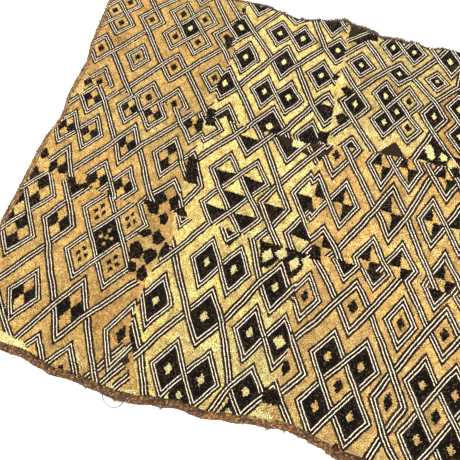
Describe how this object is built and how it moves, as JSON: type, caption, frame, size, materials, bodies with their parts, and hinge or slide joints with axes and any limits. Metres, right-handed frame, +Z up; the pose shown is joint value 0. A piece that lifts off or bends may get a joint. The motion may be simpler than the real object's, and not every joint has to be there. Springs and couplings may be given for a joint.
{
  "type": "kuba raffia cloth",
  "caption": "Square raffia cloth lying flat, woven ground with cut-pile interlace embroidery, a rolled hem and a frayed far edge.",
  "frame": {"origin": "middle of the outline's box, on the cloth's underside", "axes": "+Z up out of the embroidered face, +X to the right along the hem, +Y from the hem to the frayed far edge"},
  "size_m": [0.579, 0.5822, 0.0044],
  "materials": {
    "raffia": "dry matt raffia, cut pile over plain weave"
  },
  "bodies": {
    "root": {"raffia_cloth": "raffia"}
  },
  "joints": []
}
